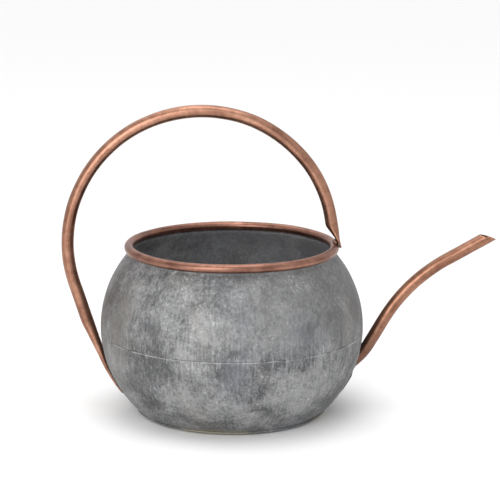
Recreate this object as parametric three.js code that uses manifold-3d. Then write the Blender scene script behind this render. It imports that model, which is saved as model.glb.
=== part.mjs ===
// A bowl-bodied watering can: two spun sheet shells lapped and soldered at the waist, a pressed base,
// a slit copper tube rolled over the mouth, one copper tube bent into a hoop handle whose ends are
// pressed flat, and a bent copper spout. Millimetres, +Z up, spout towards +X. The origin is the
// centre of the base, on the ground.

import * as THREE from 'three';
import { mergeVertices } from 'three/addons/utils/BufferGeometryUtils.js';
import Module from 'manifold-3d';

const wasm = await Module();
wasm.setup();

// ---------------------------------------------------------------- driving dimensions

const bodyRadius = 131.8;          // at the widest part of the bowl
const equatorHeight = 88;          // height of the widest part
const footInset = 41.2;            // how far the bowl's side draws in from there to the ground
const sheet = 1.0;                 // thickness of the shells and the base
const waistHeight = 83.5;          // top edge of the lower shell, which laps outside the upper one
const waistLap = 6;                // how far the upper shell reaches down inside the lower one
const joggleHeight = 2.5;          // height over which the upper shell is stepped inwards
const baseLipHeight = 4.2;         // how far up the base's turned-up lip reaches

const mouthRadius = 103;           // upright collar of the mouth, at the middle of its sheet
const rimHeight = 168;             // centre of the rim tube
const rimDiameter = 9;
const rimWall = 1.0;
const collarReach = 1.5;           // how far the collar rises past the centre of the rim tube
const neckDrop = 6.2;              // how far below that centre the collar meets the side of the bowl

const handleDiameter = 12.4;
const handleWall = 1.0;
const handleTop = 310.8;           // highest point of the hoop, above the ground
const handleOverhang = 38.6;       // how far the hoop reaches out behind the bowl
const hoopRearRadius = 134.4;      // bends of the hoop, to the middle of the tube
const hoopFrontRadius = 129.5;
const hoopBlendAngle = 79;         // degrees above the horizontal where one bend meets the other
const pressedGap = 0.4;            // slit that stays open inside a pressed tube end
const frontWrapAngle = 3;          // degrees below the rim tube's centre where the front end stops
const frontFlatLength = 6;         // stretch of the front end that is pressed quite flat
const frontPressLength = 19;       // stretch over which it then becomes round
const tailEndHeight = 19;          // lowest point of the handle's rear end
const tailPressLength = 82;        // stretch over which the rear end becomes round
const tailPressPower = 1.6;        // how late in that stretch it thickens
const endRounding = 5;             // stretch over which a pressed end narrows to its tip
const endWidthShare = 0.45;        // width of the tip, as a share of the full width

const spoutDiameter = 12.4;
const spoutWall = 1.0;
const spoutRootHeight = 53.2;      // where the middle of the spout leaves the body
const spoutRootHeading = 42;       // degrees above the horizontal, at the body
const spoutRootBend = 60;          // radius of the bend at the root
const spoutRiseHeading = 60;
const spoutRiseLength = 28.9;
const spoutNeckBend = 170;         // radius of the long bend towards the tip
const spoutTipHeading = 30;
const spoutTipLength = 47;
const spoutMouthSlope = 16;        // degrees that the cut of the mouth falls towards the tip

const tongueThickness = 1.6;       // copper tongue under the heel of the spout
const tongueWidth = 16;
const tongueTipWidth = 8;
const tongueEndHeight = 19;

const solderLeg = 3.2;             // size of the solder fillets
const spoutSolderLeg = 2.0;        // and of the one round the spout's root, at the body
const solderEdge = 0.6;            // thickness that a fillet fades out to
const tailSolderHeight = 30;       // how far up the fillets beside the handle's rear end run
const clearance = 0.3;             // gap between pieces that touch

const turns = 48;                  // facets round the body
const handleSides = 12;            // facets round the handle, the spout and the flat strips
const spoutSides = 14;
const stripSides = 8;

// ---------------------------------------------------------------- finishes

const zinc = new THREE.MeshStandardMaterial({ color: 0x8b8d8e, roughness: 0.55, metalness: 0.85 });
const copper = new THREE.MeshStandardMaterial({ color: 0xa9694c, roughness: 0.38, metalness: 1.0 });
const solder = new THREE.MeshStandardMaterial({ color: 0xa8a79f, roughness: 0.5, metalness: 0.9 });

// ---------------------------------------------------------------- solids

const radians = THREE.MathUtils.degToRad;
const { lerp, clamp } = THREE.MathUtils;

function plane(x, z) {
  return new THREE.Vector2(x, z);
}

function direction(angle) {
  return plane(Math.cos(angle), Math.sin(angle));
}

function toSolid(geometry) {
  const bare = geometry.clone();
  bare.deleteAttribute('normal');
  bare.deleteAttribute('uv');
  const merged = mergeVertices(bare, 1e-4);
  return new wasm.Manifold(new wasm.Mesh({
    numProp: 3,
    vertProperties: new Float32Array(merged.attributes.position.array),
    triVerts: new Uint32Array(merged.index.array),
  }));
}

function toGeometry(solid) {
  const mesh = solid.getMesh();
  const geometry = new THREE.BufferGeometry();
  geometry.setAttribute('position', new THREE.BufferAttribute(mesh.vertProperties, 3));
  geometry.setIndex(new THREE.BufferAttribute(mesh.triVerts, 1));
  return geometry;
}

// Turns an outline of (radius, height) points about the body's axis. An outline that doesn't
// start on the axis closes on itself.
function turned(outline) {
  const points = outline[0].x > 0 ? [...outline, outline[0]] : outline;
  return new THREE.LatheGeometry(points, turns).rotateX(Math.PI / 2);
}

// ---------------------------------------------------------------- faces of the bowl

// The side is one arc above the widest part and another below it, both upright where they meet.
function sideCurve(narrowing, height) {
  return (narrowing ** 2 + height ** 2) / (2 * narrowing);
}

const shellFoot = sheet + clearance;
const lapDepth = sheet + clearance;
const collarRadius = mouthRadius + sheet / 2;
const neckHeight = rimHeight - neckDrop;
const upperCurve = sideCurve(bodyRadius - collarRadius, neckHeight - equatorHeight);
const lowerCurve = sideCurve(footInset, equatorHeight);
const upperCentre = plane(bodyRadius - upperCurve, equatorHeight);
const lowerCentre = plane(bodyRadius - lowerCurve, equatorHeight);

// A point beside the bowl's outer face: level with the face at this height, then moved square to
// the face by offset, which is negative for the inside.
function bowlPoint(height, offset = 0) {
  const rise = height - equatorHeight;
  const [centre, curve] = rise > 0 ? [upperCentre, upperCurve] : [lowerCentre, lowerCurve];
  const outwards = plane(Math.sqrt(curve * curve - rise * rise), rise).divideScalar(curve);
  return centre.clone().addScaledVector(outwards, curve + offset);
}

function bowlFace(fromHeight, toHeight, steps, offset = 0) {
  return Array.from({ length: steps + 1 }, (_, i) => (
    bowlPoint(lerp(fromHeight, toHeight, i / steps), offset)
  ));
}

function lowerFace(offset = 0) {
  return bowlFace(shellFoot, waistHeight, 10, offset);
}

function upperFace(offset = 0) {
  return bowlFace(waistHeight + joggleHeight, neckHeight, 8, offset);
}

// The outline of a sheet whose outer face is given from bottom to top.
function sheetOutline(face) {
  const inside = face.map((point, i) => {
    const before = face[Math.max(i - 1, 0)];
    const after = face[Math.min(i + 1, face.length - 1)];
    const along = after.clone().sub(before).normalize();
    return plane(point.x - along.y * sheet, point.y + along.x * sheet);
  });
  return [...face, ...inside.reverse()];
}

// ---------------------------------------------------------------- body

function upperShell() {
  const skirt = bowlFace(waistHeight - waistLap, waistHeight, 1, -lapDepth);
  const collarTop = plane(collarRadius, rimHeight + collarReach);
  return turned(sheetOutline([...skirt, ...upperFace(), collarTop]));
}

function plainLowerShell() {
  return turned(sheetOutline(lowerFace()));
}

function basePlate() {
  return turned([
    plane(0, 0),
    plane(bowlPoint(0).x - sheet, 0),
    bowlPoint(shellFoot, clearance + sheet),
    bowlPoint(baseLipHeight, clearance + sheet),
    bowlPoint(baseLipHeight, clearance),
    bowlPoint(shellFoot, clearance),
    plane(bowlPoint(sheet).x - sheet, sheet),
    plane(0, sheet),
  ]);
}

function rimTube() {
  const slitHalf = sheet / 2 + clearance;
  const arc = (radius, steps) => {
    const half = Math.asin(slitHalf / radius);
    return Array.from({ length: steps + 1 }, (_, i) => (
      direction(lerp(half, 2 * Math.PI - half, i / steps) - Math.PI / 2)
        .multiplyScalar(radius).add(rimCentre)
    ));
  };
  const outside = arc(rimDiameter / 2, 10);
  const bore = arc(rimDiameter / 2 - rimWall, 6);
  return turned([...outside, ...bore.reverse()]);
}

// ---------------------------------------------------------------- tubes and strips

// Tubes and strips lie along stations in the XZ plane. A station has a point on a line, the way
// outwards square to it, and a hang: 0 puts the section's middle on the line, 1 stands the section
// outwards of the line and -1 hangs it inwards. With outwards to the right, the line goes ahead.
function arcStations(centre, radius, fromAngle, toAngle, spacing, hang = 0) {
  const length = Math.abs((toAngle - fromAngle) * radius);
  const steps = Math.max(2, Math.ceil(length / spacing));
  return Array.from({ length: steps + 1 }, (_, i) => {
    const outwards = direction(lerp(fromAngle, toAngle, i / steps));
    return { point: centre.clone().addScaledVector(outwards, radius), outwards, hang };
  });
}

// The stations of the straight run between two others, without its ends.
function runStations(from, to, spacing) {
  const steps = Math.max(2, Math.ceil(from.point.distanceTo(to.point) / spacing));
  return Array.from({ length: steps - 1 }, (_, i) => (
    { ...from, point: from.point.clone().lerp(to.point, (i + 1) / steps) }
  ));
}

// A station further along the straight line ahead.
function ahead(station, length) {
  const forwards = plane(-station.outwards.y, station.outwards.x);
  return { ...station, point: station.point.clone().addScaledVector(forwards, length) };
}

// Gives every station a depth across the line and a width along Y, by its distance from the first
// and from the last one, and moves its point to the middle of the section.
function sized(stations, sizeAt) {
  const steps = stations.map((station, i) => (
    i ? station.point.distanceTo(stations[i - 1].point) : 0
  ));
  const total = steps.reduce((sum, step) => sum + step, 0);
  let distance = 0;
  return stations.map((station, i) => {
    distance += steps[i];
    const size = sizeAt(distance, total - distance);
    const shift = station.hang * size.depth / 2;
    const point = station.point.clone().addScaledVector(station.outwards, shift);
    return { ...station, ...size, point };
  });
}

// Moves a straight bar, made of one ring for each sized station, to its place along them. The
// section's sides are round. A wall makes the bar a tube.
function laidAlong(stations, sides, wall = 0) {
  const outside = stations.map((_, i) => plane(2, i));
  const middle = wall ? stations.map((_, i) => plane(1, i)).reverse() : [];
  const outline = wall
    ? [...outside, ...middle, outside[0]]
    : [plane(0, 0), ...outside, plane(0, stations.length - 1)];
  const geometry = new THREE.LatheGeometry(outline, sides, Math.PI / sides);
  const place = geometry.attributes.position;
  for (let i = 0; i < place.count; i += 1) {
    const ring = Math.round(Math.hypot(place.getX(i), place.getZ(i)));
    const station = stations[Math.round(place.getY(i))];
    const thinner = ring === 1 ? 2 * wall : 0;
    const depth = (station.depth - thinner) / 2;
    const width = (station.width - thinner) / 2;
    const across = ring ? place.getZ(i) / ring : 0;
    const aside = ring ? place.getX(i) / ring : 0;
    const offset = across * depth;
    const middlePoint = station.point.clone()
      .addScaledVector(station.outwards, offset)
      .addScaledVector(plane(-station.outwards.y, station.outwards.x), offset * (station.shear ?? 0));
    const side = aside * depth + Math.sign(aside) * (width - depth);
    place.setXYZ(i, middlePoint.x, side, middlePoint.y);
  }
  return geometry;
}

// A bar all round a tube's sections, to cut room for it.
function roomFor(stations, sides) {
  const wider = stations.map((station) => ({
    ...station,
    depth: station.depth + 2 * clearance,
    width: station.width + 2 * clearance,
  }));
  return toSolid(laidAlong(wider, sides));
}

// ---------------------------------------------------------------- handle

const handleRadius = handleDiameter / 2;
const pressedDepth = 2 * handleWall + pressedGap;
const rimCentre = plane(mouthRadius, rimHeight);
const backCentre = plane(-lowerCentre.x, lowerCentre.y);
const rearOuterRadius = hoopRearRadius + handleRadius;
const rearCentre = plane(rearOuterRadius - bodyRadius - handleOverhang, handleTop - rearOuterRadius);
const blendAngle = radians(hoopBlendAngle);
const frontCentre = rearCentre.clone()
  .addScaledVector(direction(blendAngle), hoopRearRadius - hoopFrontRadius);

// The angle at which a straight line touches two circles, both on the same side of it, going
// ahead from the first circle to the second.
function tangentAngle(centreA, radiusA, centreB, radiusB) {
  const between = centreB.clone().sub(centreA);
  const lean = Math.acos((radiusA - radiusB) / between.length());
  return between.angle() - lean;
}

// The front half follows its outer face: it wraps the rim tube, then runs up into the hoop. The
// rear half follows its inner face: down from the hoop and on along the side of the bowl.
function handleStations() {
  const [coarse, fine, finest] = [14, 5, 1.3];
  const wrapRadius = rimDiameter / 2 + clearance + pressedDepth;
  const frontFace = hoopFrontRadius + handleRadius;
  const rearFace = hoopRearRadius - handleRadius;
  const tailFace = lowerCurve + clearance;
  const up = tangentAngle(rimCentre, wrapRadius, frontCentre, frontFace);
  const down = tangentAngle(rearCentre, rearFace, backCentre, tailFace);
  const end = Math.PI + Math.asin((equatorHeight - tailEndHeight) / tailFace);
  const tip = end - endRounding / tailFace;
  const wrap = arcStations(rimCentre, wrapRadius, -radians(frontWrapAngle), up, finest, -1);
  const front = arcStations(frontCentre, frontFace, up, blendAngle, coarse, -1);
  const rear = arcStations(rearCentre, rearFace, blendAngle, down, coarse, 1);
  const tail = arcStations(backCentre, tailFace, down, tip, fine, 1);
  const tailTip = arcStations(backCentre, tailFace, tip, end, finest, 1);
  return sized([
    ...wrap,
    ...runStations(wrap.at(-1), front[0], fine),
    ...front.slice(0, -1),
    ...rear,
    ...runStations(rear.at(-1), tail[0], fine),
    ...tail,
    ...tailTip.slice(1),
  ], pressedSection);
}

// The handle's section at a distance from its front end and from its rear end. A pressed tube
// keeps its girth, so it gets wider as it gets thinner.
function pressedSection(fromFront, fromRear) {
  const frontShare = clamp((fromFront - frontFlatLength) / frontPressLength, 0, 1);
  const rearShare = clamp(fromRear / tailPressLength, 0, 1) ** tailPressPower;
  const share = Math.min(frontShare ** 2 * (3 - 2 * frontShare), rearShare);
  const depth = lerp(pressedDepth, handleDiameter, share);
  const fullWidth = depth + Math.PI / 2 * (handleDiameter - depth);
  const narrowing = 1 - clamp(Math.min(fromFront, fromRear) / endRounding, 0, 1);
  const widthShare = lerp(endWidthShare, 1, Math.sqrt(1 - narrowing ** 2));
  return { depth, width: fullWidth * widthShare };
}

const handleLine = handleStations();

// ---------------------------------------------------------------- spout

function roundSection(diameter) {
  return () => ({ depth: diameter, width: diameter });
}

// The middle of the spout, from inside the body to the mouth.
function spoutStations(insideLength) {
  const [coarse, fine] = [13, 6];
  const square = Math.PI / 2;
  const [rootAngle, riseAngle, tipAngle] = [spoutRootHeading, spoutRiseHeading, spoutTipHeading]
    .map((heading) => radians(heading) - square);
  const rootPoint = bowlPoint(spoutRootHeight);
  const bendCentre = rootPoint.clone().addScaledVector(direction(rootAngle), -spoutRootBend);
  const root = arcStations(bendCentre, spoutRootBend, rootAngle, riseAngle, fine);
  const inside = ahead(root[0], -insideLength);
  const riseEnd = ahead(root.at(-1), spoutRiseLength);
  const neckCentre = riseEnd.point.clone().addScaledVector(riseEnd.outwards, spoutNeckBend);
  const neck = arcStations(neckCentre, -spoutNeckBend, riseAngle, tipAngle, coarse);
  const mouth = ahead(neck.at(-1), spoutTipLength);
  mouth.shear = 1 / Math.tan(radians(spoutTipHeading + spoutMouthSlope));
  return [
    inside,
    ...root,
    ...runStations(root.at(-1), neck[0], coarse),
    ...neck,
    ...runStations(neck.at(-1), mouth, coarse),
    mouth,
  ];
}

const spoutInside = 2 * spoutDiameter;
const spoutLine = spoutStations(spoutInside);

function bowlSolid(offset) {
  const side = [...lowerFace(offset), ...upperFace(offset)];
  return toSolid(turned([plane(0, side[0].y), ...side, plane(0, side.at(-1).y)]));
}

function spoutTube() {
  const line = sized(spoutLine, roundSection(spoutDiameter));
  return toSolid(laidAlong(line, spoutSides, spoutWall)).subtract(bowlSolid(clearance));
}

// The hole in the lower shell carries the spout's bore on through the sheet.
function lowerShell() {
  const rootEnd = spoutLine.slice(0, 3);
  const bore = sized(rootEnd, roundSection(spoutDiameter - 2 * spoutWall));
  return toSolid(plainLowerShell()).subtract(toSolid(laidAlong(bore, spoutSides)));
}

// The angle of the bowl's lower face at a height, as its outward direction.
function lowerFaceAngle(height) {
  return Math.asin((height - equatorHeight) / lowerCurve);
}

// The angle at which the underside of the spout would meet a face of this radius.
function heelAngle(face) {
  const heading = direction(radians(spoutRootHeading));
  const under = plane(heading.y, -heading.x);
  const underside = bowlPoint(spoutRootHeight).addScaledVector(under, spoutDiameter / 2);
  const aside = underside.sub(lowerCentre).dot(under);
  const heel = under.multiplyScalar(aside).addScaledVector(heading, Math.sqrt(face ** 2 - aside ** 2));
  return Math.atan2(heel.y, heel.x);
}

function tongueStations() {
  const face = lowerCurve + clearance;
  const [end, top] = [lowerFaceAngle(tongueEndHeight), heelAngle(face) - 2 * clearance / face];
  return sized(arcStations(lowerCentre, face, end, top, 3, 1), (fromEnd) => {
    const narrowing = 1 - clamp(fromEnd / tongueWidth, 0, 1);
    const width = lerp(tongueTipWidth, tongueWidth, Math.sqrt(1 - narrowing ** 2));
    return { depth: tongueThickness, width };
  });
}

const tongueLine = tongueStations();

// ---------------------------------------------------------------- solder

function waistSolder() {
  const top = waistHeight - waistLap - clearance;
  return turned([
    bowlPoint(top - solderLeg, -lapDepth),
    bowlPoint(top, -lapDepth),
    bowlPoint(top, -lapDepth - sheet - solderEdge),
  ]);
}

function baseSolder() {
  const corner = bowlPoint(shellFoot, -lapDepth);
  return turned([
    plane(corner.x - solderLeg, shellFoot),
    plane(corner.x - solderLeg / 2, shellFoot),
    corner,
    bowlPoint(shellFoot + solderLeg, -lapDepth),
    plane(corner.x - solderLeg, shellFoot + solderEdge),
  ]);
}

// A collar round the spout's root, thickest at the body.
function spoutSolder() {
  const rootEnd = spoutLine.slice(0, 5);
  const collar = sized(rootEnd, (fromInside) => {
    const share = clamp((fromInside - spoutInside / 2) / spoutInside, 0, 1) ** 0.5;
    const diameter = spoutDiameter + 2 * clearance + 2 * lerp(spoutSolderLeg, solderEdge, share);
    return { depth: diameter, width: diameter };
  });
  return toSolid(laidAlong(collar, spoutSides))
    .subtract(roomFor(sized(spoutLine, roundSection(spoutDiameter)), spoutSides))
    .subtract(bowlSolid(clearance))
    .subtract(roomFor([ahead(tongueLine[0], -clearance), ...tongueLine,
      ahead(tongueLine.at(-1), clearance)], stripSides));
}

// A drop of filler in the notch between the rim tube and the handle's front end.
function frontSolder() {
  const [across, along] = [1.1 * solderLeg, 0.6 * handleDiameter];
  const room = rimDiameter / 2 + clearance;
  const place = rimCentre.clone().addScaledVector(direction(radians(70)), room);
  const drop = new THREE.SphereGeometry(1, 12, 8).scale(across, along, across)
    .translate(place.x, 0, place.y);
  const corners = 12;
  const ring = Array.from({ length: corners }, (_, i) => (
    direction(2 * Math.PI * i / corners).multiplyScalar(room / Math.cos(Math.PI / corners))
      .add(rimCentre)
  ));
  return toSolid(drop).subtract(toSolid(turned(ring))).subtract(roomFor(handleLine, handleSides));
}

// A fillet along both edges of the handle's rear end and round its tip.
function rearSolder() {
  const face = lowerCurve + clearance;
  const [top, end] = [tailEndHeight + tailSolderHeight, tailEndHeight]
    .map((height) => Math.PI - lowerFaceAngle(height));
  const bed = sized(arcStations(backCentre, face, top, end + solderLeg / face, 4, 1), (_, fromTip) => {
    const narrowing = 1 - clamp(fromTip / (endRounding + solderLeg), 0, 1);
    const fullWidth = Math.PI / 2 * handleDiameter + 2 * solderLeg;
    const width = fullWidth * lerp(endWidthShare, 1, Math.sqrt(1 - narrowing ** 2));
    return { depth: pressedDepth - solderEdge, width };
  });
  const tip = ahead(handleLine.at(-1), clearance);
  return toSolid(laidAlong(bed, handleSides)).subtract(roomFor([...handleLine, tip], handleSides));
}

// ---------------------------------------------------------------- the watering can

const group = new THREE.Group();

function addPiece(name, shape, material) {
  const geometry = shape.isBufferGeometry ? shape : toGeometry(shape);
  const mesh = new THREE.Mesh(geometry, material);
  mesh.name = name;
  group.add(mesh);
}

addPiece('upper_shell', upperShell(), zinc);
addPiece('lower_shell', lowerShell(), zinc);
addPiece('base_plate', basePlate(), zinc);
addPiece('rim_tube', rimTube(), copper);
addPiece('handle', laidAlong(handleLine, handleSides, handleWall), copper);
addPiece('spout', spoutTube(), copper);
addPiece('spout_tongue', laidAlong(tongueLine, stripSides), copper);
addPiece('waist_solder', waistSolder(), solder);
addPiece('base_solder', baseSolder(), solder);
addPiece('spout_solder', spoutSolder(), solder);
addPiece('handle_front_solder', frontSolder(), solder);
addPiece('handle_rear_solder', rearSolder(), solder);

export default group;
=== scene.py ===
"""The looks of a galvanised watering can with a copper rim, hoop handle and spout.

Every visible piece is modelled here in place of its plain CAD node. Metres, +Z up, spout towards
+X, with the origin at the centre of the base.
"""

import math

import bmesh
import bpy
from mathutils import Matrix, Vector, noise


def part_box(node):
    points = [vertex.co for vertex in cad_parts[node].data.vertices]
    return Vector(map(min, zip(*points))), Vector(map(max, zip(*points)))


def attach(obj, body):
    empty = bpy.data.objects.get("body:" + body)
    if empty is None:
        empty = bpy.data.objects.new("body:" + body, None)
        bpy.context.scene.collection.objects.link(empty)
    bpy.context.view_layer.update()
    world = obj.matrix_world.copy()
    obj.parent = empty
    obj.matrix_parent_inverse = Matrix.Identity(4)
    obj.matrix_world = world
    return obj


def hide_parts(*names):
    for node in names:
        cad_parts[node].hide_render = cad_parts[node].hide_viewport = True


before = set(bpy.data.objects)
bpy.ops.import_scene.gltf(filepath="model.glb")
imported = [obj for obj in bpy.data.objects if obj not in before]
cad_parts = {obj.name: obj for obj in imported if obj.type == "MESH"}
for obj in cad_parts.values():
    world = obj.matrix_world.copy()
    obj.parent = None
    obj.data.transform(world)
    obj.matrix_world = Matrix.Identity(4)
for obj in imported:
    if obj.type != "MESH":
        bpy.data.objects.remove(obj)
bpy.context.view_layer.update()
noise.seed_set(5)    # for the same unevenness each run

# ---------------------------------------------------------------- sizes

MM = 0.001

SHEET = 1.0 * MM                # thickness of the shells and the base
GAP = 0.3 * MM                  # between pieces that touch
BODY_RADIUS = 131.8 * MM
EQUATOR = 88 * MM               # height of the bowl's widest part
FOOT_INSET = 41.2 * MM          # how far its side draws in from there to the ground
NECK_DROP = 6.2 * MM            # from the rim tube's centre down to the side of the bowl
JOGGLE = 0.4 * MM               # height of the step above the lap, on the outer face
INNER_JOGGLE = 2.5 * MM         # and on the inner one
RIM_RADIUS = 4.5 * MM
WALL = 1.0 * MM                 # wall of the copper tubes
HANDLE_RADIUS = 6.2 * MM
HOOP_REAR = 134.4 * MM          # bends of the hoop, to the middle of its tube
HOOP_FRONT = 129.5 * MM
HOOP_BLEND = math.radians(79)   # where one bend meets the other
PRESSED_DEPTH = 2.4 * MM        # depth of a tube end that is pressed flat
FRONT_WRAP = math.radians(3)    # how far round the rim tube the handle's front end reaches
FRONT_FLAT = 6 * MM             # stretch of the front end that is pressed quite flat
FRONT_PRESS = 19 * MM           # stretch over which it then becomes round
FRONT_PINCH = 9 * MM            # where it is drawn in behind the rim tube
FRONT_KINK = 0.8 * MM           # and how far
TAIL_PRESS = 82 * MM            # stretch over which the rear end becomes round
TAIL_POWER = 1.6                # how late in that stretch it thickens
END_ROUNDING = 5 * MM           # stretch over which a pressed end narrows to its tip
END_SHARE = 0.45                # width of a pressed end's tip, as a share of the full width
SPOUT_RADIUS = 6.2 * MM
SPOUT_ROOT = 53.2 * MM          # height at which the middle of the spout leaves the bowl
SPOUT_HEADINGS = [math.radians(angle) for angle in (42, 60, 30)]    # at root, middle and tip
SPOUT_ROOT_BEND = 60 * MM       # radius of the bend at the root
SPOUT_NECK_BEND = 170 * MM      # radius of the long bend towards the tip
SPOUT_RISE = 28.9 * MM          # straight stretch between the bends
SPOUT_TIP = 47 * MM             # straight stretch up to the mouth
SPOUT_MOUTH_SLOPE = math.radians(16)
TONGUE_THICKNESS = 1.6 * MM
TONGUE_WIDTH = 16 * MM
TONGUE_TIP = 8 * MM             # its width at its lower end
TONGUE_COVER = 5 * MM           # how much of its upper end the solder covers
SOLDER_LEG = 3.2 * MM           # size of the solder fillets
SPOUT_SOLDER_LEG = 2.0 * MM     # and of the one round the spout
STRIP_SIDES = 32                # facets round the solder bed of the handle

TURNS = 288                     # facets round the body
TUBE_SIDES = 40                 # facets round the handle and the spout

lower_low, lower_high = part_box("lower_shell")
upper_low, upper_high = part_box("upper_shell")
base_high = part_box("base_plate")[1]
rim_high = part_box("rim_tube")[1]
handle_low, handle_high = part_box("handle")
tongue_low, tongue_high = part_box("spout_tongue")

FOOT = lower_low.z
WAIST = lower_high.z
SKIRT = upper_low.z
RIM_HEIGHT = rim_high.z - RIM_RADIUS
MOUTH_RADIUS = rim_high.x - RIM_RADIUS
COLLAR_RADIUS = MOUTH_RADIUS + SHEET / 2
NECK = RIM_HEIGHT - NECK_DROP
LAP = SHEET + GAP


# ---------------------------------------------------------------- small geometry

def direction(angle):
    return Vector((math.cos(angle), math.sin(angle)))


def upright(point, aside=0):
    """A point of the XZ plane, moved aside along Y."""
    return Vector((point[0], aside, point[1]))


def clamp(value):
    return min(max(value, 0), 1)


def ease(value):
    share = clamp(value)
    return share * share * (3 - 2 * share)


def mix(a, b, share):
    return a + (b - a) * share


def steps(low, high, count):
    return [mix(low, high, i / count) for i in range(count + 1)]


def rounded(before, corner, after, count=5):
    """The points of a smooth bend from one point to another, drawn towards the corner."""
    return [mix(mix(before, corner, t), mix(corner, after, t), t) for t in steps(0, 1, count)]


class Path:
    """Straight runs and round bends in the XZ plane, end to end, measured from the start."""

    def __init__(self, point, heading):
        self.point = point
        self.heading = heading
        self.length = 0
        self.parts = []

    def run(self, length, radius=math.inf):
        """Goes on for a length. A positive radius bends left and a negative one right."""
        self.parts.append((self.length, self.point, self.heading, 1 / radius))
        self.length += length
        self.point, self.heading = self.at(self.length)
        return self

    def at(self, distance):
        start, point, heading, curvature = [
            part for part in self.parts if part[0] <= max(distance, 0)
        ][-1]
        length = distance - start
        turn = curvature * length
        chord = 2 * math.sin(turn / 2) / curvature if curvature else length
        return point + direction(heading + turn / 2) * chord, heading + turn


def round_angles(count):
    return [2 * math.pi * i / count for i in range(count)]


def right_of(heading):
    return direction(heading - math.pi / 2)


# ---------------------------------------------------------------- the bowl's side

def side_curve(narrowing, height):
    return (narrowing ** 2 + height ** 2) / (2 * narrowing)


UPPER_CURVE = side_curve(BODY_RADIUS - COLLAR_RADIUS, NECK - EQUATOR)
LOWER_CURVE = side_curve(FOOT_INSET, EQUATOR)
LOWER_CENTRE = Vector((BODY_RADIUS - LOWER_CURVE, EQUATOR))
BACK_CENTRE = Vector((-LOWER_CENTRE.x, EQUATOR))


def bowl_point(height, offset=0):
    """(radius, height) of a point beside the bowl's outer face, moved square to the face."""
    rise = height - EQUATOR
    curve = UPPER_CURVE if rise > 0 else LOWER_CURVE
    outwards = Vector((math.sqrt(curve ** 2 - rise ** 2), rise)) / curve
    return Vector((BODY_RADIUS - curve, EQUATOR)) + outwards * (curve + offset)


# ---------------------------------------------------------------- making meshes

def handmade(point):
    """The slight unevenness of hand work. It moves all pieces together, so that they still fit."""
    broad = noise.noise_vector(point * 14) * 0.55 * MM
    close = noise.noise_vector(point * 50) * 0.18 * MM
    moved = broad + close
    moved.z *= ease(point.z / (12 * MM))
    return point + moved


def spun(outline):
    """Turns an outline of (radius, height) points about the body's axis."""
    mesh = bmesh.new()
    corners = [mesh.verts.new((point[0], 0, point[1])) for point in outline]
    following = corners[1:] + corners[:1] if outline[0][0] > 0 else corners[1:]
    edges = [mesh.edges.new(pair) for pair in zip(corners, following)]
    bmesh.ops.spin(mesh, geom=corners + edges, cent=(0, 0, 0), axis=(0, 0, 1), dvec=(0, 0, 0),
                   angle=2 * math.pi, steps=TURNS, use_merge=True, use_duplicate=False)
    bmesh.ops.remove_doubles(mesh, verts=mesh.verts[:], dist=1e-7)
    bmesh.ops.recalc_face_normals(mesh, faces=mesh.faces[:])
    return mesh


def soften(mesh, width, segments=2):
    """Rounds the sharp edges."""
    sharp = [edge for edge in mesh.edges
             if edge.is_manifold and edge.calc_face_angle() > math.radians(35)]
    bmesh.ops.bevel(mesh, geom=sharp, offset=width, offset_type="OFFSET", segments=segments,
                    profile=0.5, affect="EDGES", material=-1, clamp_overlap=True)
    return mesh


def lofted(rings):
    """Extrudes a ring of (point, grain) pairs into the next one and the last into the first.

    Grain is the place on the straightened tube or strip, for patterns that run along it.
    """
    mesh = bmesh.new()
    grain = mesh.verts.layers.float_vector.new("grain")

    def move(verts, ring):
        for vert, (point, place) in zip(verts, ring):
            vert.co = point
            vert[grain] = place

    verts = bmesh.ops.create_circle(mesh, segments=len(rings[0]), radius=1)["verts"]
    move(verts, rings[0])
    first = mesh.edges[:]
    last = first
    for ring in rings[1:]:
        made = bmesh.ops.extrude_edge_only(mesh, edges=last)["geom"]
        fresh = {item for item in made if isinstance(item, bmesh.types.BMVert)}
        verts = [next(edge.other_vert(vert) for edge in vert.link_edges
                      if edge.other_vert(vert) in fresh) for vert in verts]
        last = [item for item in made if isinstance(item, bmesh.types.BMEdge)
                and item.verts[0] in fresh and item.verts[1] in fresh]
        move(verts, ring)
    bmesh.ops.bridge_loops(mesh, edges=first + last)
    bmesh.ops.remove_doubles(mesh, verts=mesh.verts[:], dist=1e-7)
    bmesh.ops.recalc_face_normals(mesh, faces=mesh.faces[:])
    return mesh


def marked_inside(mesh):
    """Marks the inner face of a shell, where the zinc is painted lighter as painted light inside
    the bowl.
    """
    inside = mesh.verts.layers.float.new("inside")
    for vert in mesh.verts:
        middle_of_sheet = bowl_point(vert.co.z, -SHEET / 2).x
        vert[inside] = float(math.hypot(vert.co.x, vert.co.y) < middle_of_sheet)
    return mesh


def piece(name, mesh, material):
    """Makes a mesh a piece of the object that stands for the CAD node of the same name."""
    for vert in mesh.verts:
        vert.co = handmade(vert.co)
    for face in mesh.faces:
        face.smooth = True
    data = bpy.data.meshes.new(name)
    mesh.to_mesh(data)
    mesh.free()
    data.set_sharp_from_angle(angle=math.radians(38))
    data.materials.append(material)
    made = bpy.data.objects.new(name + "_look", data)
    bpy.context.scene.collection.objects.link(made)
    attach(made, "root")
    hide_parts(name)
    return made


# ---------------------------------------------------------------- tubes and strips

def stations(path, places, size_at, hang=0):
    """Middle, outward direction, depth and width of the sections at some places on a path.

    A hang of 1 stands the sections to the right of the path, and -1 to the left.
    """
    found = []
    for distance in places:
        point, heading = path.at(distance)
        depth, width = size_at(distance)
        outwards = right_of(heading)
        found.append((point + outwards * (hang * depth / 2), outwards, depth, width))
    return found


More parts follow.
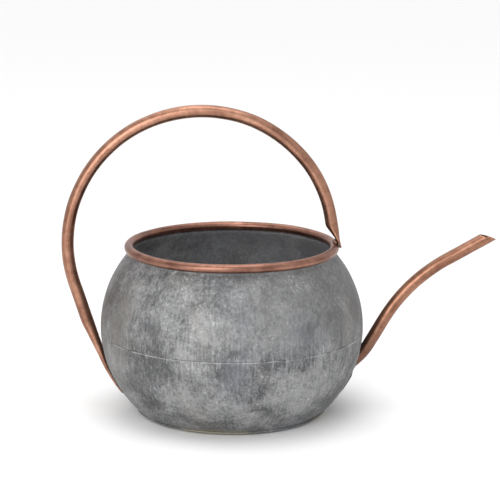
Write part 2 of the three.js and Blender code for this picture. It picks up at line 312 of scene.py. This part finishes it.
def section(station, along, inset=0):
    """The ring of a section with round sides, this far inside its surface."""
    middle, outwards, depth, width = station
    half = depth / 2 - inset
    stretch = (width - depth) / 2
    ring = []
    for angle in round_angles(TUBE_SIDES):
        across, aside = math.cos(angle), math.sin(angle)
        on_middle_line = abs(aside) < 1e-6
        side = half * aside + (0 if on_middle_line else math.copysign(stretch, aside))
        place = Vector((along, HANDLE_RADIUS * across, HANDLE_RADIUS * aside))
        ring.append((upright(middle + outwards * (half * across), side), place))
    return ring


def closing(ring):
    """The ring drawn together to its middle, which closes an end."""
    middle = sum((point for point, _ in ring), Vector()) / len(ring)
    return [(middle, place) for _, place in ring]


def tangent_angle(centre_a, radius_a, centre_b, radius_b):
    """Where a line touches two circles, going ahead from the first, both on its left."""
    between = centre_b - centre_a
    facing = math.atan2(between.y, between.x) % (2 * math.pi)
    return facing - math.acos((radius_a - radius_b) / between.length)


def line_length(centre_a, radius_a, centre_b, radius_b):
    return math.sqrt((centre_b - centre_a).length_squared - (radius_a - radius_b) ** 2)


# ---------------------------------------------------------------- shader maths

class Value:
    """A number, colour or vector that varies over a surface. Sums on numbers add Math nodes."""

    def __init__(self, shader, socket):
        self.shader = shader
        self.socket = socket

    def maths(self, operation, first, second=0.5):
        return self.shader.node("ShaderNodeMath", {"operation": operation}, {0: first, 1: second})

    def __add__(self, other):
        return self.maths("ADD", self, other)

    __radd__ = __add__

    def __sub__(self, other):
        return self.maths("SUBTRACT", self, other)

    def __rsub__(self, other):
        return self.maths("SUBTRACT", other, self)

    def __mul__(self, other):
        return self.maths("MULTIPLY", self, other)

    def __abs__(self):
        return self.maths("ABSOLUTE", self)


class Shader:
    """A material and the nodes that vary it."""

    def __init__(self, name, metallic=1.0):
        self.material = bpy.data.materials.new(name)
        self.material.use_nodes = True
        self.tree = self.material.node_tree
        self.surface = self.tree.nodes["Principled BSDF"]
        self.surface.inputs["Metallic"].default_value = metallic

    def feed(self, socket, value):
        if isinstance(value, Value):
            self.tree.links.new(value.socket, socket)
        else:
            socket.default_value = value

    def node(self, kind, settings, values, output=0):
        made = self.tree.nodes.new(kind)
        for name, setting in settings.items():
            setattr(made, name, setting)
        for name, value in values.items():
            self.feed(made.inputs[name], value)
        return Value(self, made.outputs[output])

    def place(self):
        return self.node("ShaderNodeTexCoord", {}, {}, "Object")

    def attribute(self, name, kind="Vector"):
        return self.node("ShaderNodeAttribute", {"attribute_name": name}, {}, kind)

    def stretched(self, vector, factors):
        return self.node("ShaderNodeVectorMath", {"operation": "MULTIPLY"}, {0: vector, 1: factors})

    def shifted(self, vector, offsets):
        return self.node("ShaderNodeVectorMath", {"operation": "ADD"}, {0: vector, 1: offsets})

    def part(self, vector, axis):
        return self.node("ShaderNodeSeparateXYZ", {}, {0: vector}, axis)

    def noise(self, vector, scale, detail=4.0, roughness=0.55, distortion=0.0):
        return self.node("ShaderNodeTexNoise", {}, {
            "Vector": vector, "Scale": scale, "Detail": detail, "Roughness": roughness,
            "Distortion": distortion})

    def between(self, value, low, high):
        """0 at low and below, 1 at high and above, smooth between them."""
        return self.node("ShaderNodeMapRange", {"interpolation_type": "SMOOTHSTEP"}, {
            "Value": value, "From Min": low, "From Max": high})

    def blend(self, first, second, share, how="MIX"):
        """Mixes two colours, given as (red, green, blue) or as values."""
        full = [(*c, 1.0) if isinstance(c, tuple) else c for c in (first, second)]
        return self.node("ShaderNodeMix", {"data_type": "RGBA", "blend_type": how}, {
            0: share, 6: full[0], 7: full[1]}, 2)

    def bump(self, height, distance, strength=1.0):
        normal = self.node("ShaderNodeBump", {}, {
            "Height": height, "Distance": distance, "Strength": strength})
        self.feed(self.surface.inputs["Normal"], normal)

    def paint(self, colour, roughness):
        self.feed(self.surface.inputs["Base Color"], colour)
        self.feed(self.surface.inputs["Roughness"], roughness)
        return self.material


# ---------------------------------------------------------------- materials

def zinc():
    """Dull galvanised sheet: cloudy, grainy and streaked down its height, hammered at the lap."""
    shader = Shader("galvanised_sheet", metallic=0.5)
    place = shader.place()
    along, height = shader.part(place, "X"), shader.part(place, "Z")
    moved = shader.shifted(place, (0.37, 0.12, 0.21))
    broad = shader.noise(moved, 11, 3, 0.5)
    clouds = shader.noise(moved, 30, 10, 0.72, 0.4)
    grain = shader.noise(place, 400, 6, 0.8)
    streaks = shader.noise(shader.stretched(place, (430, 430, 36)), 1, 5, 0.7)
    tint = shader.noise(shader.stretched(moved, (1, 1, 0.6)), 14, 3, 0.5, 0.4)

    tone = broad * 0.2 + clouds * 0.34 + grain * 0.26 + streaks * 0.2
    calm = shader.between(along, -50 * MM, 60 * MM) * shader.between(height, 80 * MM, 105 * MM)
    light = 0.5 + (shader.between(tone, 0.425, 0.588) - 0.5) * (1.0 - calm * 0.45)
    colour = shader.blend((0.068, 0.069, 0.071), (0.325, 0.327, 0.33), light)
    colour = shader.blend(colour, (0.30, 0.28, 0.25), shader.between(tint, 0.54, 0.72) * 0.3)
    colour = shader.blend(colour, (0.2, 0.215, 0.245), shader.between(tint, 0.48, 0.3) * 0.4)

    stains = shader.between(shader.noise(moved, 48, 7, 0.7, 0.6), 0.55, 0.66)
    colour = shader.blend(colour, (0.075, 0.077, 0.084), stains * 0.45)
    # Painted glints: bright specks are painted into the colour where grain and clouds are bright.
    # The lower roughness they get further down is real.
    painted_glint_specks = shader.between(grain, 0.56, 0.68) * shader.between(clouds, 0.49, 0.6)
    colour = shader.blend(colour, (0.72, 0.72, 0.7), painted_glint_specks * 0.65)
    pits = shader.between(shader.noise(place, 560, 3, 0.65), 0.38, 0.28)
    colour = shader.blend(colour, (0.06, 0.06, 0.063), pits * 0.5)

    edge = height - WAIST
    hammered = shader.between(abs(edge), 15 * MM, 2 * MM)
    ticks = shader.noise(shader.stretched(place, (620, 620, 110)), 1, 5, 0.75)
    bright_ticks = shader.between(ticks, 0.55, 0.68) * hammered
    dark_ticks = shader.between(ticks, 0.46, 0.34) * hammered
    colour = shader.blend(colour, (0.62, 0.62, 0.61), bright_ticks * 0.5)
    colour = shader.blend(colour, (0.08, 0.08, 0.083), dark_ticks * 0.5)
    # Painted highlight: a patchy light line along the top edge of the lower shell, where the edge
    # catches the light.
    patchy = shader.between(shader.noise(place, 55, 6, 0.75), 0.44, 0.58)
    painted_lap_highlight = shader.between(abs(edge + 0.4 * MM), 1.0 * MM, 0.3 * MM) * patchy
    colour = shader.blend(colour, (0.6, 0.6, 0.59), painted_lap_highlight * 0.5)
    # Painted shade: the rear side of the bowl is painted darker and a little browner.
    rear_painted_shade = shader.between(along, -70 * MM, -130 * MM)
    colour = shader.blend(colour, (0.1, 0.083, 0.07), rear_painted_shade * 0.35)
    # Painted light: the inner face is painted lighter, as if more light reached inside the bowl.
    inside = shader.attribute("inside", "Fac")
    colour = shader.blend(colour, (0.115, 0.115, 0.125), inside, "ADD")
    stained = shader.between(height, 8 * MM, 3 * MM) * shader.between(tint, 0.46, 0.6)
    colour = shader.blend(colour, (0.42, 0.38, 0.28), stained * 0.5)

    rough = 0.58 + (clouds - 0.5) * 0.4 + (grain - 0.5) * 0.35 - (painted_glint_specks + bright_ticks) * 0.18
    relief = clouds * 0.4 + grain * 0.4 + streaks * 0.15 + ticks * hammered * 0.4
    shader.bump(relief, 0.55 * MM, 0.6)
    return shader.paint(colour, rough)


def copper(name, dark, light, tube=False, darker_start=0.0):
    """Copper with an old brown skin, rubbed brighter in patches and brushed along its length.

    A tube is brushed along its own grain, and its start may be made darker.
    Copper that isn't a tube is brushed round the mouth: its pattern changes fast only with height.
    """
    shader = Shader(name)
    place = shader.place()
    line = shader.attribute("grain") if tube else place
    brushed = shader.noise(shader.stretched(line, (22, 420 if tube else 22, 420)), 1, 4, 0.6)
    patches = shader.noise(place, 30, 8, 0.66, 0.4)
    blotches = shader.noise(place, 150, 5, 0.7, 0.3)
    specks = shader.noise(place, 620, 2, 0.5)

    tone = brushed * 0.3 + patches * 0.45 + blotches * 0.25
    colour = shader.blend(dark, light, shader.between(tone, 0.36, 0.62))
    pale = shader.between(patches, 0.56, 0.7) * shader.between(blotches, 0.48, 0.62)
    colour = shader.blend(colour, (0.62, 0.38, 0.29), pale * 0.4)
    colour = shader.blend(colour, (0.09, 0.05, 0.038), shader.between(specks, 0.36, 0.26) * 0.45)
    # The tube is made darker over its first stretch, next to the bowl.
    if darker_start > 0:
        near_start = shader.between(shader.part(line, "X"), 85 * MM, 25 * MM)
        colour = shader.blend(colour, (0.11, 0.064, 0.048), near_start * darker_start)
    rough = 0.36 + (brushed - 0.5) * 0.2 + (patches - 0.5) * 0.3
    shader.bump(brushed * 0.5 + blotches * 0.5, 0.2 * MM, 0.35)
    return shader.paint(colour, rough)


def solder(name, dark, light):
    """Dull lumpy solder with a yellowish flux stain."""
    shader = Shader(name, metallic=0.9)
    place = shader.place()
    lumps = shader.noise(place, 230, 4, 0.6, 0.5)
    stain = shader.noise(place, 60, 3, 0.5)
    colour = shader.blend(dark, light, shader.between(lumps, 0.35, 0.65))
    colour = shader.blend(colour, (0.42, 0.37, 0.26), shader.between(stain, 0.5, 0.7) * 0.5)
    shader.bump(lumps, 0.6 * MM, 0.7)
    return shader.paint(colour, 0.42 + (lumps - 0.5) * 0.3)


ZINC = zinc()
COPPER = copper("copper_handle", (0.21, 0.1, 0.066), (0.47, 0.245, 0.167), tube=True)
SPOUT_COPPER = copper("copper_spout", (0.16, 0.073, 0.046), (0.38, 0.192, 0.126), tube=True,
                      darker_start=0.65)
# Painted shade: the tongue's copper is painted far darker than the rest, for the shade under the
# spout.
TONGUE_PAINTED_SHADE_COPPER = copper("copper_tongue_painted_shade", (0.05, 0.03, 0.024), (0.13, 0.075, 0.055), tube=True)
RIM_COPPER = copper("copper_rim", (0.16, 0.074, 0.053), (0.36, 0.183, 0.132))
SOLDER = solder("solder", (0.2, 0.195, 0.18), (0.5, 0.49, 0.46))
BROWN_SOLDER = solder("solder_browned", (0.15, 0.08, 0.06), (0.4, 0.24, 0.18))


# ---------------------------------------------------------------- body

def upper_shell():
    """From the skirt behind the lap, out over the joggle, up the side and into the rim tube."""
    bend = 2 * MM
    heights = steps(SKIRT, WAIST, 3) + steps(WAIST, WAIST + JOGGLE, 6)[1:]
    heights += steps(WAIST + JOGGLE, WAIST + INNER_JOGGLE, 6)[1:]
    heights += steps(WAIST + INNER_JOGGLE, NECK - bend, 50)[1:-1]

    def face(depth, joggle):
        side = [bowl_point(height, -depth - LAP * (1 - ease((height - WAIST) / joggle)))
                for height in heights]
        corner = Vector((COLLAR_RADIUS - depth, NECK))
        neck = rounded(bowl_point(NECK - bend, -depth), corner, corner + Vector((0, bend)))
        return side + neck + [Vector((corner.x, upper_high.z))]

    outline = face(0, JOGGLE) + face(SHEET, INNER_JOGGLE)[::-1]
    return marked_inside(soften(spun(outline), 0.12 * MM))


def cut_bore(mesh, path, radius):
    """Cuts the spout's bore through both faces of the shell and lines the hole."""
    root, heading = path.at(SPOUT_START)
    start, axis = upright(root), upright(direction(heading))

    def from_axis(point):
        reach = point - start
        return reach - axis * reach.dot(axis)

    def near(share):
        return [face for face in mesh.faces if face.calc_center_median().x > 0
                and from_axis(face.calc_center_median()).length < share * radius]

    edges = list({edge for face in near(1.8) for edge in face.edges})
    bmesh.ops.subdivide_edges(mesh, edges=edges, cuts=2, use_grid_fill=True)
    bmesh.ops.delete(mesh, geom=near(1), context="FACES")
    rims = [edge for edge in mesh.edges if edge.is_boundary]
    for vert in {vert for edge in rims for vert in edge.verts}:
        offset = from_axis(vert.co)
        vert.co += offset.normalized() * radius - offset
    bmesh.ops.bridge_loops(mesh, edges=rims)
    return mesh


def lower_shell():
    heights = steps(FOOT, WAIST, 56)
    outside = [bowl_point(height) for height in heights]
    inside = [bowl_point(height, -SHEET) for height in heights[::-1]]
    mesh = soften(spun(outside + inside), 0.2 * MM, 3)
    return marked_inside(cut_bore(mesh, SPOUT_PATH, SPOUT_RADIUS - WALL))


def base_plate():
    """A flat disc whose edge is turned up round the foot of the shell."""
    outer, inner = GAP + SHEET, GAP
    corner = Vector((bowl_point(0).x + GAP, 0))
    lip = [bowl_point(height, outer) for height in steps(2 * FOOT, base_high.z, 4)]
    outside = rounded(corner - Vector((2.2 * MM, 0)), corner, lip[0])
    inside = [bowl_point(height, inner) for height in steps(base_high.z, FOOT, 5)]
    floor = rounded(inside[-1], Vector((inside[-1].x - 0.2 * MM, SHEET)),
                    Vector((inside[-1].x - 1.5 * MM, SHEET)))
    rings = [Vector((radius, 0)) for radius in steps(0, corner.x - 2.2 * MM, 12)[:-1]]
    back = [Vector((radius, SHEET)) for radius in steps(floor[-1].x, 0, 12)[1:]]
    return soften(spun(rings + outside + lip[1:] + inside + floor[1:] + back), 0.22 * MM)


def rim_tube():
    """A tube bent round the mouth, slit along its underside to sit over the collar."""
    centre = Vector((MOUTH_RADIUS, RIM_HEIGHT))
    slit = SHEET / 2 + GAP

    def arc(radius, count):
        half = math.asin(slit / radius)
        return [centre + direction(angle - math.pi / 2) * radius
                for angle in steps(half, 2 * math.pi - half, count)]

    return soften(spun(arc(RIM_RADIUS, 44) + arc(RIM_RADIUS - WALL, 22)[::-1]), 0.15 * MM)


# ---------------------------------------------------------------- spout

SPOUT_START = 3.5 * SPOUT_RADIUS    # how far inside the bowl its line starts


def spout_path():
    root, rise, tip = SPOUT_HEADINGS
    start = bowl_point(SPOUT_ROOT) - direction(root) * SPOUT_START
    path = Path(start, root).run(SPOUT_START)
    path.run((rise - root) * SPOUT_ROOT_BEND, SPOUT_ROOT_BEND)
    path.run(SPOUT_RISE)
    path.run((rise - tip) * SPOUT_NECK_BEND, -SPOUT_NECK_BEND)
    return path.run(SPOUT_TIP)


SPOUT_PATH = spout_path()


def spout_point(distance, angle, radius):
    point, heading = SPOUT_PATH.at(distance)
    outwards = right_of(heading)
    return upright(point + outwards * (radius * math.cos(angle)), radius * math.sin(angle))


def above_bowl(point):
    """How far a point is outside the lower part of the bowl."""
    reach = Vector((math.hypot(point.x, point.y), point.z)) - LOWER_CENTRE
    return reach.length - LOWER_CURVE


def leaves_bowl(angle, radius, gap=GAP):
    """The distance along the spout at which this side of it comes out of the bowl."""
    low, high = 0, 2 * SPOUT_START
    for _ in range(24):
        middle = (low + high) / 2
        inside = above_bowl(spout_point(middle, angle, radius)) < gap
        low, high = (middle, high) if inside else (low, middle)
    return high


def spout():
    """A tube that starts on the bowl's face and ends in a slanted mouth."""
    slant = 1 / math.tan(SPOUT_HEADINGS[-1] + SPOUT_MOUTH_SLOPE)
    edge = 0.3 * MM

    def ring(share, inset, short=0):
        radius = SPOUT_RADIUS - inset
        made = []
        for angle in round_angles(TUBE_SIDES):
            start = leaves_bowl(angle, radius)
            end = SPOUT_PATH.length + radius * math.cos(angle) * slant - short
            distance = mix(start, end, share)
            place = Vector((distance, SPOUT_RADIUS * math.cos(angle),
                            SPOUT_RADIUS * math.sin(angle)))
            made.append((spout_point(distance, angle, radius), place))
        return made

    shares = steps(0, 1, 110)
    outside = [ring(share, 0, edge) for share in shares]
    lip = [ring(1, edge), ring(1, WALL - edge)]
    bore = [ring(share, WALL, edge) for share in shares[::-1]]
    return lofted(outside + lip + bore)


def spout_tongue():
    """A strip of copper down the bowl from under the solder of the spout's heel."""
    reach = LOWER_CURVE + GAP
    low, high = [math.asin((height - EQUATOR) / LOWER_CURVE)
                 for height in (tongue_low.z, tongue_high.z + 0.8 * MM)]
    path = Path(LOWER_CENTRE + direction(low) * reach, low + math.pi / 2)
    path.run((high - low) * reach, reach)

    def size_at(distance):
        lower = 1 - clamp(distance / TONGUE_WIDTH)
        under_solder = clamp((path.length - distance) / TONGUE_COVER)
        rounding = math.sqrt(1 - lower ** 2) * mix(0.6, 1, under_solder)
        depth = TONGUE_THICKNESS * mix(0.3, 1, under_solder)
        return depth, mix(TONGUE_TIP, TONGUE_WIDTH, rounding)

    places = steps(0, path.length, 36)
    rings = [section(station, place)
             for station, place in zip(stations(path, places, size_at, 1), places)]
    return lofted([closing(rings[0])] + rings + [closing(rings[-1])])


# ---------------------------------------------------------------- handle

def handle_paths():
    """The front half by its outer face and the rear half by its inner face."""
    rim = Vector((MOUTH_RADIUS, RIM_HEIGHT))
    outer = HOOP_REAR + HANDLE_RADIUS
    rear_centre = Vector((handle_low.x + outer, handle_high.z - outer))
    front_centre = rear_centre + direction(HOOP_BLEND) * (HOOP_REAR - HOOP_FRONT)
    wrap = RIM_RADIUS + GAP + PRESSED_DEPTH
    front_face = HOOP_FRONT + HANDLE_RADIUS
    rear_face = HOOP_REAR - HANDLE_RADIUS
    tail_face = LOWER_CURVE + GAP
    up = tangent_angle(rim, wrap, front_centre, front_face)
    down = tangent_angle(rear_centre, rear_face, BACK_CENTRE, tail_face)
    end = math.pi + math.asin((EQUATOR - handle_low.z) / tail_face)

    front = Path(rim + direction(-FRONT_WRAP) * wrap, math.pi / 2 - FRONT_WRAP)
    front.run((up + FRONT_WRAP) * wrap, wrap)
    front.run(line_length(rim, wrap, front_centre, front_face))
    front.run((HOOP_BLEND - up) * front_face, front_face)
    rear = Path(rear_centre + direction(HOOP_BLEND) * rear_face, HOOP_BLEND + math.pi / 2)
    rear.run((down - HOOP_BLEND) * rear_face, rear_face)
    rear.run(line_length(rear_centre, rear_face, BACK_CENTRE, tail_face))
    rear.run((end - down) * tail_face, tail_face)
    return front, rear


FRONT_PATH, REAR_PATH = handle_paths()


def pressed(from_end, share):
    """Depth and width of a tube that is pressed, at a distance from its end.

    It keeps its girth, so it gets wider as it gets thinner. A share of 1 is quite round.
    """
    depth = mix(PRESSED_DEPTH, 2 * HANDLE_RADIUS, share)
    width = depth + math.pi / 2 * (2 * HANDLE_RADIUS - depth)
    narrowing = 1 - clamp(from_end / END_ROUNDING)
    return depth, width * mix(END_SHARE, 1, math.sqrt(1 - narrowing ** 2))


def handle():
    """One tube, pressed flat where it wraps the rim and where it lies down the back of the bowl."""
    def front_size(distance):
        share = (distance - FRONT_FLAT) / FRONT_PRESS
        return pressed(distance, (ease(share) + clamp(share)) / 2)

    def rear_size(distance):
        from_end = REAR_PATH.length - distance
        return pressed(from_end, clamp(from_end / TAIL_PRESS) ** TAIL_POWER)

    tip = 0.25 * MM
    tip_places = [0, tip, 0.8 * MM, 1.6 * MM, 2.6 * MM, 3.8 * MM, END_ROUNDING]
    front_places = tip_places + steps(END_ROUNDING, FRONT_PATH.length, 110)[1:-1]
    rear_places = steps(0, REAR_PATH.length - END_ROUNDING, 150)[:-1]
    rear_places += [REAR_PATH.length - place for place in tip_places[::-1]]
    line = [
        (middle - outwards * FRONT_KINK * math.exp(-((distance - FRONT_PINCH) / FRONT_FLAT) ** 2),
         outwards, depth, width)
        for distance, (middle, outwards, depth, width)
        in zip(front_places, stations(FRONT_PATH, front_places, front_size, -1))
    ]
    line += stations(REAR_PATH, rear_places, rear_size, 1)
    along = front_places + [FRONT_PATH.length + place for place in rear_places]
    outside = [section(station, place) for station, place in zip(line, along)]
    inside = [section(station, place, WALL) for station, place in zip(line, along)]
    return soften(lofted(outside + inside[::-1]), 0.2 * MM)


# ---------------------------------------------------------------- solder

def lumpy(point, amount, scale=110):
    """A point moved a little, as soldering by hand leaves it."""
    return point + noise.noise_vector(point * scale) * amount


def waist_solder():
    """A fillet inside the bowl, under the lap."""
    top = SKIRT - GAP / 3
    face = -LAP
    mesh = spun([
        bowl_point(top - 1.2 * SOLDER_LEG, face),
        bowl_point(top - 0.2 * MM, face + 0.1 * MM),
        bowl_point(top, face - 0.9 * MM),
        bowl_point(top - 0.3 * SOLDER_LEG, face - 1.1 * MM),
        bowl_point(top - 0.8 * SOLDER_LEG, face - 0.5 * MM),
    ])
    for vert in mesh.verts:
        vert.co = lumpy(vert.co, 0.35 * MM)
    return mesh


def base_solder():
    """A fillet inside the bowl, round the floor."""
    corner = bowl_point(FOOT, -LAP)
    mesh = spun([
        Vector((corner.x - SOLDER_LEG, SHEET + 0.1 * MM)),
        Vector((corner.x, SHEET + 0.1 * MM)),
        bowl_point(FOOT + SOLDER_LEG, -LAP),
        bowl_point(FOOT + 0.7 * SOLDER_LEG, -LAP - 0.7 * MM),
        Vector((corner.x - 0.5 * SOLDER_LEG, SHEET + 0.9 * MM)),
    ])
    for vert in mesh.verts:
        vert.co = lumpy(vert.co, 0.3 * MM)
    return mesh


def over_tongue(point):
    """How far solder at a point stands off the bowl, to cover the top edge of the tongue."""
    beside = ease((TONGUE_WIDTH / 2 - abs(point.y)) / (2 * MM))
    above = ease((tongue_high.z + TONGUE_COVER - point.z) / (4 * MM))
    return (GAP + TONGUE_THICKNESS) * beside * above


def off_bowl(point, offset):
    """The place beside the lower part of the bowl that is square to a point, at an offset."""
    flat = Vector((point.x, point.y, 0)).normalized()
    centre = flat * LOWER_CENTRE.x + Vector((0, 0, LOWER_CENTRE.y))
    return centre + (point - centre).normalized() * (LOWER_CURVE + offset)


def spout_solder():
    """A fillet round the spout's root, thickest under its heel."""
    rings = []
    skin = 0.05 * MM
    for angle in round_angles(96):
        heel = (1 + math.cos(angle)) / 2
        leg = SPOUT_SOLDER_LEG * mix(0.45, 0.9, heel)
        leg *= 1 + 0.25 * noise.noise(Vector((2 * math.cos(angle), 2 * math.sin(angle), 0)))
        lift = over_tongue(spout_point(leaves_bowl(angle, SPOUT_RADIUS), angle, SPOUT_RADIUS))
        start = leaves_bowl(angle, SPOUT_RADIUS, lift)
        foot = spout_point(start, angle, SPOUT_RADIUS - 0.2 * MM)
        up = spout_point(start + 1.3 * leg, angle, SPOUT_RADIUS + skin)
        away = spout_point(start - 0.4 * leg, angle, SPOUT_RADIUS + leg)
        on_wall = off_bowl(away, over_tongue(away) + skin)
        hollow = mix((up + on_wall) / 2, foot, 0.3)
        ring = [foot, up, mix(up, hollow, 0.6), mix(on_wall, hollow, 0.6), on_wall]
        rings.append([(point, point) for point in ring])
    return lofted(rings)


def handle_front_solder():
    """A drop of filler in the notch between the rim tube and the handle's front end."""
    low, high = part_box("handle_front_solder")
    middle, half = (low + high) / 2, (high - low) / 2
    mesh = bmesh.new()
    bmesh.ops.create_uvsphere(mesh, u_segments=40, v_segments=24, radius=1)
    for vert in mesh.verts:
        vert.co = lumpy(middle + vert.co * half, 0.5 * MM, 260)
    return mesh


def handle_rear_solder():
    """A low bed of solder that shows along both edges of the handle's rear end and below it."""
    low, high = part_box("handle_rear_solder")
    reach = LOWER_CURVE + 0.1 * MM
    top, end = [math.pi + math.asin((EQUATOR - height) / reach)
                for height in (high.z, low.z + 1 * MM)]
    path = Path(BACK_CENTRE + direction(top) * reach, top + math.pi / 2)
    path.run((end - top) * reach, reach)

    def size_at(distance):
        from_end = path.length - distance
        fade_in = ease(distance / (8 * MM))
        narrowing = 1 - clamp(from_end / (2 * END_ROUNDING))
        rounding = mix(0.5, 1, math.sqrt(1 - narrowing ** 2))
        width = (math.pi * HANDLE_RADIUS + 1.6 * SOLDER_LEG) * rounding
        depth = mix(0.2, 1.3, fade_in) * MM
        return depth, width * mix(0.85, 1, fade_in)

    places = steps(0, path.length, 60)
    rings = []
    for (middle, outwards, depth, width), place in zip(stations(path, places, size_at, 1), places):
        ring = []
        for angle in round_angles(STRIP_SIDES):
            point = upright(middle + outwards * (depth / 2 * math.cos(angle)),
                            width / 2 * math.sin(angle))
            ring.append((lumpy(point, 0.35 * MM), point))
        rings.append(ring)
    return lofted([closing(rings[0])] + rings + [closing(rings[-1])])


piece("upper_shell", upper_shell(), ZINC)
piece("lower_shell", lower_shell(), ZINC)
piece("base_plate", base_plate(), ZINC)
piece("rim_tube", rim_tube(), RIM_COPPER)
piece("handle", handle(), COPPER)
piece("spout", spout(), SPOUT_COPPER)
piece("spout_tongue", spout_tongue(), TONGUE_PAINTED_SHADE_COPPER)
piece("waist_solder", waist_solder(), SOLDER)
piece("base_solder", base_solder(), SOLDER)
piece("spout_solder", spout_solder(), SOLDER)
piece("handle_front_solder", handle_front_solder(), BROWN_SOLDER)
piece("handle_rear_solder", handle_rear_solder(), SOLDER)


# ---------------------------------------------------------------- studio

def studio_floor():
    mesh = bmesh.new()
    bmesh.ops.create_grid(mesh, x_segments=1, y_segments=1, size=14)
    data = bpy.data.meshes.new("studio_floor")
    mesh.to_mesh(data)
    mesh.free()
    floor = bpy.data.objects.new("studio_floor", data)
    bpy.context.scene.collection.objects.link(floor)
    shader = Shader("studio_floor", metallic=0.0)
    data.materials.append(shader.paint((0.9, 0.9, 0.9, 1.0), 0.9))


def sunlight(name, place, width, strength):
    """Even light from one direction, as from a very large soft lamp."""
    data = bpy.data.lights.new(name, "SUN")
    data.angle = width
    data.energy = strength
    lamp = bpy.data.objects.new(name, data)
    bpy.context.scene.collection.objects.link(lamp)
    lamp.rotation_euler = (-Vector(place)).to_track_quat("-Z", "Y").to_euler()


def light(name, place, target, size, power):
    data = bpy.data.lights.new(name, "AREA")
    data.shape = "RECTANGLE"
    data.size, data.size_y = size
    data.energy = power
    lamp = bpy.data.objects.new(name, data)
    bpy.context.scene.collection.objects.link(lamp)
    lamp.location = place
    lamp.rotation_euler = (Vector(target) - Vector(place)).to_track_quat("-Z", "Y").to_euler()


def surroundings(strength):
    world = bpy.data.worlds.new("studio")
    world.use_nodes = True
    background = world.node_tree.nodes["Background"]
    background.inputs["Color"].default_value = (1.0, 1.0, 1.0, 1.0)
    background.inputs["Strength"].default_value = strength
    bpy.context.scene.world = world


def camera():
    """A long lens a little above the mouth, looking at the can from its right-hand side."""
    height = math.radians(12.1)
    distance = 2.0
    roll = math.radians(0.15)
    target = Vector((0, 0, 169 * MM))
    data = bpy.data.cameras.new("camera")
    data.sensor_width = 36
    data.lens = 144
    data.shift_x = 0.0364
    data.shift_y = -0.0092
    made = bpy.data.objects.new("camera", data)
    bpy.context.scene.collection.objects.link(made)
    made.location = target + Vector((0, -math.cos(height), math.sin(height))) * distance
    facing = (target - made.location).to_track_quat("-Z", "Y").to_matrix()
    made.rotation_euler = (facing @ Matrix.Rotation(roll, 3, "Z")).to_euler()
    bpy.context.scene.camera = made


studio_floor()
surroundings(0.82)
sunlight("sky", (-0.2, 0.5, 1.2), math.radians(60), 0.8)
light("key", (-0.9, -2.15, 0.9), (0, 0, 0.12), (1.4, 1.7), 28)
light("above", (0.0, -0.3, 1.9), (0, 0, 0.14), (1.0, 1.0), 8)
camera()
bpy.context.scene.view_settings.view_transform = "Standard"
